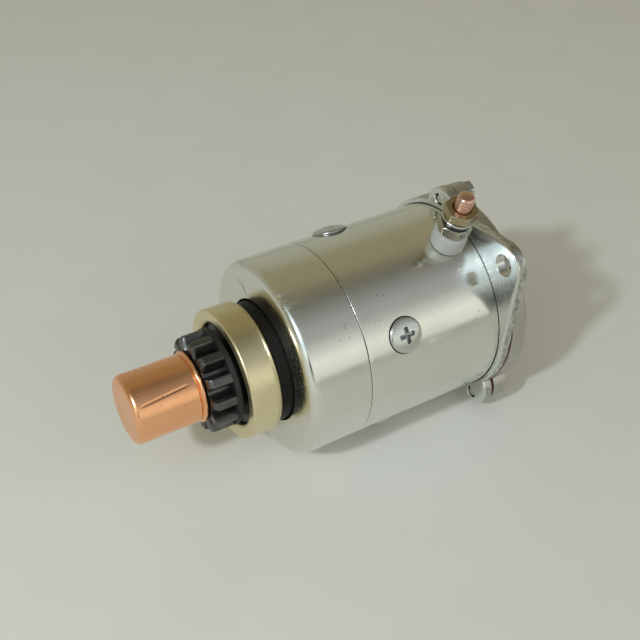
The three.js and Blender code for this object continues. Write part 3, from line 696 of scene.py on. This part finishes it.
for number, at in enumerate(POLE_AT, 1):
    rows, dirt_and_shade = [], []
    for r in np.concatenate([np.linspace(0, 3.4, 52), np.linspace(3.5, 6.1, 14)]):
        dome = HEAD_LOW + 0.15 + (HEAD_TOP - HEAD_LOW - 0.15) * np.sqrt(max(1 - (r / HEAD_R) ** 2, 0))
        deep = cross_recess(r, AROUND, 3 + 31 * (number - 1))
        rows.append((dome - deep, r))
        # Painted shade: the cross recess is darkened by its depth.
        dirt_and_shade.append(0.4 * np.clip(deep / 1.4, 0, 1))
    rows += [(HEAD_LOW + 0.55, 6.3), (HEAD_LOW + 0.28, 6.44), (HEAD_LOW, HEAD_R), (37.35, HEAD_R),
             (37.15, 6.35), (34.9, 3.0), (30.0, 3.0), (29.6, 2.7), (29.6, 0)]
    # Painted shade: the head's rounded edge and its side down in the yoke's pocket are darkened.
    dirt_and_shade += [np.full(len(AROUND), share) for share in (0, 0.1, 0.5, 0.9, 0.9, 0, 0, 0, 0)]
    make(f"pole_screw_head_{number}", f"pole_screw_{number}",
         [outward(turned(rows, AROUND), pole_station, at)],
         SCREW_ZINC, crease=50, grime_and_shade=[np.array(dirt_and_shade)])


# Terminal: a copper-plated stud through a natural nylon bush, locked by a plated hexagon nut, with a dark
# spring washer, a plain washer and a brassy nut on top for the battery cable.

STUD_R, STUD_TOP = 3.175, 63.5
f = Finish("nylon_natural")
haze = f.noise(120, 3)
NYLON = f.done(f.mix(f.ramp(haze, 0.35, 0.65), (0.50, 0.50, 0.47, 1), (0.43, 0.43, 0.40, 1)),
               f.ramp(haze, 0.3, 0.7, 0.38, 0.55), f.bump(f.noise(500, 3), 1.5e-5), metallic=0.0,
               Subsurface_Weight=0.15, Subsurface_Radius=(0.004, 0.004, 0.003), Subsurface_Scale=0.4)
YELLOW = metal("zinc_yellow", (0.84, 0.75, 0.50), (0.73, 0.64, 0.39), (0.24, 0.36), lathe=1.2, scuffs=0.25,
               cloud=60)
BLACK = metal("steel_black", (0.075, 0.078, 0.082), (0.13, 0.13, 0.13), (0.3, 0.46), grain=0.8, scuffs=1.4,
              specks=0.2)
COPPER = metal("copper_bright", (1.0, 0.54, 0.29), (0.97, 0.47, 0.24), (0.18, 0.32), lathe=0.7, scuffs=1.0,
               specks=0.4, dark=(0.2, 0.07, 0.04))


def on_terminal(name, node, rows, material, angles=ROUND, crease=38):
    """Makes a piece turned round the terminal's own axis."""
    return make(name, node, [outward(turned(rows, angles), terminal_station, TERMINAL_AT)], material,
                crease)


def saddle(r, angles):
    """Height above the axis at which a ring of radius r meets the yoke's skin with its clearance."""
    return np.sqrt((SKIN_R + 0.3) ** 2 - (r * np.sin(angles)) ** 2)


BUSH_R = 6.5
bush_rows = [(36.4, STUD_R + 0.3), (36.4, 5.1)] + [(saddle(r, ROUND), r) for r in (5.1, 5.6, 6.2, 6.4)]
bush_rows += [(saddle(BUSH_R, ROUND) + 0.15, BUSH_R), (40.5, BUSH_R), (42.5, BUSH_R), (43.6, 6.47),
              (44.3, 6.35), (44.8, 6.1),
              (45.15, 5.8), (45.35, 5.45), (45.45, 5.2), (45.5, 4.6), (45.5, STUD_R + 0.3),
              (36.4, STUD_R + 0.3)]
on_terminal("terminal_bush", "terminal_insulator_outer", bush_rows, NYLON)


def nut(name, node, start, end, turn, material):
    """Hexagon nut, turned by an angle, with a chamfer at both faces and a countersunk hole."""
    flats, bore = 11.3, STUD_R + 0.12
    rows = [(start, bore + 0.5), (start, flats / 2 - 0.3)] + hex_rows(flats, start, end)
    rows += [(end, flats / 2 - 0.3), (end, bore + 0.6), (end - 0.5, bore), (start + 0.5, bore),
             (start, bore + 0.5)]
    grid = turned(rows, HEX)
    a = np.radians(turn)
    spin = np.array([[1, 0, 0], [0, np.cos(a), -np.sin(a)], [0, np.sin(a), np.cos(a)]])
    make(name, node, [outward(grid @ spin.T, terminal_station, TERMINAL_AT)], material)


PINK = metal("copper_plated", (0.84, 0.53, 0.42), (0.76, 0.45, 0.34), (0.12, 0.24), scuffs=0.8,
             dark=(0.2, 0.07, 0.04))
BRASSY = metal("zinc_brassy", (0.46, 0.38, 0.25), (0.39, 0.33, 0.19), (0.22, 0.34), lathe=1.2)
OLIVE = metal("steel_olive", (0.54, 0.52, 0.43), (0.47, 0.44, 0.34), (0.15, 0.28), lathe=2.0, cloud=80)
nut("terminal_lock_nut", "terminal_nut_lower", 45.8, 50.2, 8, OLIVE)
nut("terminal_cable_nut", "terminal_nut_upper", 53.6, 57.4, 17, BRASSY)
on_terminal("terminal_plain_washer", "terminal_washer",
            eased([(52.3, STUD_R + 0.3), (52.3, 6.0), (53.3, 6.0), (53.3, STUD_R + 0.3)], 0.2), STEEL)
coil = np.radians(np.linspace(100, 450, 120))
section = eased([(50.64, 3.5), (50.64, 5.6), (51.86, 5.6), (51.86, 3.5)], 0.18)
lift = (coil - coil[0]) / (coil[-1] - coil[0]) * 0.24 - 0.12
wire = turned([(row[0] + lift, row[1]) for row in section], coil)
ends = [np.stack([wire[:, k], np.broadcast_to(wire[:-1, k].mean(0), wire[:, k].shape)]) for k in (0, -1)]
make("terminal_spring_washer", "terminal_lock_washer",
     [outward(g, terminal_station, TERMINAL_AT) for g in [wire] + ends], BLACK)
thread = np.radians(np.linspace(0, 360, 73))
stud_rows = [(28.0, 0), (28.0, STUD_R - 0.3), (28.3, STUD_R)]
for s in np.arange(44.0, 62.0, 0.15):
    ridge = np.abs(((s / 1.1 - thread / (2 * np.pi)) % 1) * 2 - 1)
    stud_rows.append((s, STUD_R - 0.02 - 0.16 * np.clip(1.25 - 1.5 * ridge, 0, 1)))
stud_rows += [(62.3, STUD_R - 0.05), (62.9, STUD_R - 0.3), (63.3, STUD_R - 0.75), (STUD_TOP, STUD_R - 1.3),
              (STUD_TOP, 0)]
on_terminal("terminal_post", "terminal_stud", stud_rows, PINK, thread)


# Starter drive: a yellow-zinc steel shell spun over the dark clutch body, whose front edge is rolled
# inwards over a thin black retaining washer. Its dark neck slides in the housing's mouth.

# The clutch body's near-black, matt colour is darker than the other black steel: partly its own dark finish,
# partly painted shade for the gap between the shell and the housing's mouth.
NECK_DARK_AND_SHADED = metal("steel_neck_shaded", (0.022, 0.022, 0.022), (0.035, 0.033, 0.03), (0.42, 0.6), grain=0.6,
                   scuffs=0.6)
shell_front, shell_back, shell_r = reach("clutch_shell")
LIP_R, SHELL_IN = 19.8, 21.6
shell = eased([(shell_front + 1, LIP_R), (shell_front, LIP_R + 1.2), (shell_front, shell_r),
               (shell_back, shell_r),
               (shell_back, SHELL_IN), (shell_front + 2.2, SHELL_IN), (shell_front + 2.2, LIP_R)],
              [0.35, 0.5, 1.0, 2.3, 0.3, 0.2, 0.35], 12)
make("clutch_cover", "clutch_shell", [turned(shell)], YELLOW)
body_front, body_back, neck_r = reach("clutch_body")
core = eased([(body_front, 17.3), (body_front, 21.3), (shell_back + 0.3, 21.3), (shell_back + 0.3, neck_r),
              (body_back, neck_r), (body_back, 10), (body_back - 6.5, 10), (body_back - 6.5, 17.3)], 0.4)
make("clutch_core", "clutch_body", [turned(core)], NECK_DARK_AND_SHADED)
washer_front, washer_back, washer_r = reach("clutch_washer")
washer = eased([(washer_front, 12.6), (washer_front, washer_r), (washer_back, washer_r),
                (washer_back, 12.6)], 0.25)
make("clutch_front_washer", "clutch_washer", [turned(washer)], BLACK)


# Pinion: hardened steel, black oxided, with thirteen teeth that are bevelled at their front ends on one
# flank, to slip into the ring gear. A round shoulder closes the teeth at the back.

TEETH, TIP_R, ROOT_R, TOOTH_AT = 13, 18.3, 13.4, 54
UNCUT = 18.4                                    # cone radius that leaves the teeth whole
pinion_front, pinion_back, _ = reach("pinion")
teeth_front, teeth_back = pinion_front + 2.0, pinion_front + 10.6
gear_angles = np.radians(np.linspace(TOOTH_AT - 180 / TEETH, TOOTH_AT - 180 / TEETH + 360, TEETH * 34 + 1))


def tooth(bevel):
    """Radius of the toothed outline by angle: each tooth rises from the root along a flank to its tip
    land, with eased corners. bevel takes that share of the pitch off one flank."""
    pitch = (np.degrees(gear_angles) - TOOTH_AT) / (360 / TEETH)
    off = (pitch + 0.5) % 1 - 0.5
    stops = np.array([-0.5, -0.40, -0.365, -0.30, -0.24, -0.198, -0.168, 0.168, 0.198, 0.24, 0.30, 0.365,
                      0.40, 0.5])
    heights = np.array([ROOT_R, ROOT_R, ROOT_R + 0.35, 15.2, 16.9, TIP_R - 0.35, TIP_R, TIP_R, TIP_R - 0.35,
                        16.9, 15.2, ROOT_R + 0.35, ROOT_R, ROOT_R])
    stops = stops + np.where(stops < 0, 0, -bevel) * (np.abs(stops) < 0.38)
    return np.interp(off, stops, heights)


gear_rows = [(pinion_front, 6.4), (pinion_front, 11.3), (teeth_front, 11.3)]
for s, cone, bevel in ((0, 17.0, 0.11), (0.02, 17.15, 0.11), (0.35, 17.6, 0.075), (0.7, 17.95, 0.04),
                       (1.2, 18.3, 0.008),
                       (1.6, UNCUT, 0), (2.5, UNCUT, 0), (4.0, UNCUT, 0), (6.0, UNCUT, 0), (8.55, UNCUT, 0)):
    gear_rows.append((teeth_front + s, np.minimum(tooth(bevel), cone)))
gear_rows += [(teeth_back, 12.9), (teeth_back, 18.1), (teeth_back + 0.15, 18.4), (teeth_back + 0.4, 18.5),
              (teeth_back + 1.9, 18.5), (teeth_back + 2.2, 18.2), (teeth_back + 2.2, 12.2),
              (pinion_back, 12.2), (pinion_back, 6.4), (pinion_front, 6.4)]
gear_rows.insert(3, (teeth_front, 12.0))
OXIDE = metal("steel_oxide", (0.105, 0.107, 0.105), (0.155, 0.155, 0.15), (0.28, 0.42), grain=0.6,
              scuffs=1.4, specks=0.2, dark=(0.02, 0.02, 0.02))
gear = turned(gear_rows, gear_angles)
# Everything behind the teeth, the shoulder and the back, is darkened by 0.6.
shoulder = np.where(gear[..., 0] > teeth_back - 0.01, 0.6, 0.0)
make("pinion_gear", "pinion", [gear], OXIDE, crease=30, grime_and_shade=[shoulder])


# Pinion cap: drawn from copper sheet, closed at the front and pressed over the pinion's nose, where its
# edge is rolled into an uneven bead.

cap_front, cap_back, bead_r = reach("pinion_cap")
CAP_R, CAP_WALL, CAP_BEND = 12.8, 1.0, 2.2
CAP_ROUND = np.radians(np.linspace(0, 360, 721))
CREASE_X, CREASE_AT, CREASE_DEEP, CREASE_WIDE = (-132.7, -113.6), (50.7, 43.2), 0.2, 0.42


def crease(station):
    """Depth of the crease along the cap, by angle: deep * exp(-(distance round the cap / half width)^2),
    fading out towards both of its ends. Also gives the painted shade on its lower side: a dark line of
    colour just beside the valley."""
    share = (station - CREASE_X[0]) / (CREASE_X[1] - CREASE_X[0])
    fade = np.clip(share / 0.12, 0, 1) * np.clip((1 - share) / 0.12, 0, 1)
    away = (np.degrees(CAP_ROUND) - CREASE_AT[0] - share
            * (CREASE_AT[1] - CREASE_AT[0])) * np.pi / 180 * CAP_R
    valley = fade * np.exp(-(away / CREASE_WIDE) ** 2)
    return CREASE_DEEP * valley, 0.6 * fade * np.exp(-((away - 0.3) / 0.3) ** 2)


wander = np.insert(ring(np.degrees(CAP_ROUND), 13.0), 0, 0, axis=1)
uneven = swell(wander, 7, 21)
cap_rows = [(cap_front + 0.12, 0), (cap_front + 0.08, 4.0), (cap_front + 0.02, 7.5), (cap_front, 9.6)]
cap_rows += [(cap_front + CAP_BEND * (1 - np.cos(b)), CAP_R - CAP_BEND + CAP_BEND * np.sin(b))
             for b in np.linspace(0.12, np.pi / 2, 12)]
cap_rows += [(s, CAP_R - 0.04 + 0.04 * np.sin((s - cap_front) * 0.4) + 0.03 * uneven - crease(s)[0])
             for s in np.linspace(cap_front + 2.3, cap_back - 3.0, 40)]
groove = cap_back - 1.95 + 0.22 * uneven
cap_rows += [(groove - 0.5, CAP_R), (groove - 0.28, CAP_R - 0.06), (groove - 0.05, CAP_R - 0.42),
             (groove + 0.1, CAP_R - 0.42), (groove + 0.3, CAP_R + 0.12), (groove + 0.6, CAP_R + 0.45),
             (cap_back - 0.8, bead_r - 0.08 + 0.1 * uneven), (cap_back - 0.45, bead_r - 0.15 + 0.1 * uneven),
             (cap_back - 0.15, bead_r - 0.45 + 0.15 * uneven), (cap_back, bead_r - 0.8),
             (cap_back, CAP_R - CAP_WALL),
             (cap_front + 2.6, CAP_R - CAP_WALL), (cap_front + 1.4, CAP_R - 2.4), (cap_front + 1.4, 0)]
# Painted shade: a dark line of colour along the crease's lower side.
dirt_and_shade = [np.broadcast_to(crease(s)[1] if np.ndim(r) else 0, len(CAP_ROUND)) for s, r in
        [(np.mean(s), r) for s, r in cap_rows]]
make("pinion_nose_cap", "pinion_cap", [turned(cap_rows, CAP_ROUND)], COPPER, crease=60,
     grime_and_shade=[np.array(dirt_and_shade)])


# Inside: shaft, laminated core, windings, commutator, coils, pole shoes, brushes, bushes and springs. They
# are left as the part has them, each in the finish of its own stuff.

IRON = metal("iron_bare", (0.36, 0.34, 0.32), (0.26, 0.24, 0.22), (0.4, 0.6), grain=4, specks=0.6)
BRONZE = metal("bronze_sintered", (0.62, 0.46, 0.22), (0.52, 0.37, 0.17), (0.35, 0.5), grain=3)


def dull(name, light, dark, rough, scale):
    """Unshiny stuff: colour and bump from one fine noise."""
    f = Finish(name)
    grain = f.noise(scale, 4, rough=0.6)
    return f.done(f.mix(f.ramp(grain, 0.35, 0.65), (*light, 1), (*dark, 1)),
                  f.ramp(grain, 0.3, 0.7, rough, rough + 0.15), f.bump(grain, 3e-5), metallic=0.0)


TAPE = dull("tape_varnished", (0.34, 0.17, 0.08), (0.22, 0.10, 0.05), 0.45, 500)
CARBON = dull("carbon_brush", (0.05, 0.05, 0.05), (0.03, 0.03, 0.03), 0.5, 900)
PHENOLIC = dull("phenolic_moulded", (0.20, 0.10, 0.05), (0.13, 0.06, 0.03), 0.35, 300)
INSIDE = {"steel": STEEL, "iron": IRON, "bronze": BRONZE, "insulation": TAPE, "carbon": CARBON,
          "phenolic": PHENOLIC,
          "copper": COPPER, "black_oxide": BLACK, "zinc": ZINC, "yellow_zinc": YELLOW, "nylon": NYLON}
KEPT = {"iron": ("pole_shoe", "armature_core"), "bronze": ("front_bush", "rear_bush"),
        "insulation": ("field_coil",),
        "carbon": ("brush_1", "brush_2", "brush_3", "brush_4"),
        "phenolic": ("brush_plate", "terminal_insulator_inner"),
        "copper": ("terminal_lead", "front_winding", "rear_winding", "commutator")}
for node, body in frame["nodes"].items():
    if not body.hide_render:
        look = next((k for k, starts in KEPT.items() if node.startswith(starts)), "steel")
        body.data.materials.clear()
        body.data.materials.append(INSIDE[look])


# Floor, light and camera: a pale matt floor under a pale studio sky, with one cool window light high on
# the left of the pinion, and the camera above the drive end.

low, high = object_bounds()
floor_mesh = bpy.data.meshes.new("floor")
span = 6.0
floor_mesh.from_pydata([(-span, -span, low.z), (span, -span, low.z), (span, span, low.z),
                        (-span, span, low.z)], [],
                       [(0, 1, 2, 3)])
floor = bpy.data.objects.new("floor", floor_mesh)
bpy.context.scene.collection.objects.link(floor)
f = Finish("floor_pale")
paper = f.noise(30, 4)
floor_mesh.materials.append(f.done(f.mix(f.ramp(paper, 0.4, 0.6), (0.92, 0.91, 0.85, 1),
                                         (0.905, 0.895, 0.835, 1)), 0.85,
                                   f.bump(f.noise(800, 2), 2e-5), metallic=0.0))

world = bpy.data.worlds.new("studio")
bpy.context.scene.world = world
world.use_nodes = True
sky = world.node_tree
parts, turn = sky.nodes.new("ShaderNodeSeparateXYZ"), sky.nodes.new("ShaderNodeMath")
side, share, ramp = (sky.nodes.new(k) for k in ("ShaderNodeMath", "ShaderNodeMapRange",
                                                "ShaderNodeValToRGB"))
sky.links.new(sky.nodes.new("ShaderNodeTexCoord").outputs["Generated"], parts.inputs[0])
side.operation, turn.operation = "MULTIPLY", "ARCTAN2"
side.inputs[1].default_value = -1.0
sky.links.new(parts.outputs[1], side.inputs[0])
sky.links.new(side.outputs[0], turn.inputs[0])
sky.links.new(parts.outputs[2], turn.inputs[1])
share.inputs["From Min"].default_value, share.inputs["From Max"].default_value = -np.pi / 2, np.pi / 2
sky.links.new(turn.outputs[0], share.inputs[0])
sky.links.new(share.outputs[0], ramp.inputs[0])
# sky colour by angle from straight overhead, positive towards the camera's side
SKY = ((-90, (0.40, 0.41, 0.34)), (-60, (0.36, 0.36, 0.27)), (-48, (0.31, 0.28, 0.18)),
       (-20, (0.30, 0.27, 0.165)),
       (-6, (0.21, 0.19, 0.13)), (6, (0.17, 0.17, 0.14)), (20, (0.26, 0.265, 0.25)),
       (33, (0.36, 0.37, 0.37)),
       (47, (0.42, 0.43, 0.42)), (60, (0.68, 0.69, 0.66)), (72, (0.95, 0.97, 0.90)),
       (82, (0.82, 0.84, 0.76)))
while len(ramp.color_ramp.elements) < len(SKY):
    ramp.color_ramp.elements.new(0.5)
for stop, (angle, colour) in zip(ramp.color_ramp.elements, SKY):
    stop.position = (angle + 90) / 180
for stop, (angle, colour) in zip(ramp.color_ramp.elements, SKY):
    stop.position, stop.color = (angle + 90) / 180, (*colour, 1)
# A dark corner of the room, 6 degrees round its middle and fading out at 15, low on the side that the
# camera is on.
corner, near, dim = (sky.nodes.new(k) for k in ("ShaderNodeVectorMath", "ShaderNodeMapRange",
                                                "ShaderNodeMix"))
corner.operation, corner.inputs[1].default_value = "DOT_PRODUCT", unit(np.array([-0.57, -0.79, 0.21]))
near.interpolation_type = "SMOOTHSTEP"
near.inputs["From Min"].default_value, near.inputs["From Max"].default_value = np.cos(np.radians((15, 6)))
dim.data_type, dim.inputs[7].default_value = "RGBA", (0.035, 0.04, 0.035, 1)
sky.links.new(parts.inputs[0].links[0].from_socket, corner.inputs[0])
sky.links.new(corner.outputs["Value"], near.inputs[0])
sky.links.new(near.outputs[0], dim.inputs[0])
sky.links.new(ramp.outputs[0], dim.inputs[6])
sky.links.new(dim.outputs[2], sky.nodes["Background"].inputs[0])
sky.nodes["Background"].inputs[1].default_value = 1.0

middle = np.array([-0.03, 0.0, 0.0])


def lamp(name, towards, distance, size, power, colour):
    """Square light at that distance from the motor's middle, facing it."""
    data = bpy.data.lights.new(name, "AREA")
    data.shape, data.size, data.energy, data.color = "SQUARE", size, power, colour
    light = bpy.data.objects.new(name, data)
    bpy.context.scene.collection.objects.link(light)
    direction = unit(np.array(towards, float))
    light.location = middle + direction * distance
    light.rotation_euler = Vector(direction).to_track_quat("Z", "Y").to_euler()


lamp("window_light", (-0.72, -0.34, 0.60), 1.0, 0.06, 3.2, (0.90, 0.96, 1.0))
lamp("window_glow", (-0.72, -0.38, 0.58), 1.1, 0.85, 1.4, (0.58, 0.82, 1.0))

camera_data = bpy.data.cameras.new("camera")
camera_data.sensor_width, camera_data.lens = 36.0, 55.04
camera = bpy.data.objects.new("camera", camera_data)
camera.location = (-0.20840, -0.25103, 0.23007)
camera.rotation_euler = np.radians((53.0, 0.0, -31.30))
bpy.context.scene.collection.objects.link(camera)
bpy.context.scene.camera = camera
bpy.context.scene.view_settings.view_transform = "Standard"
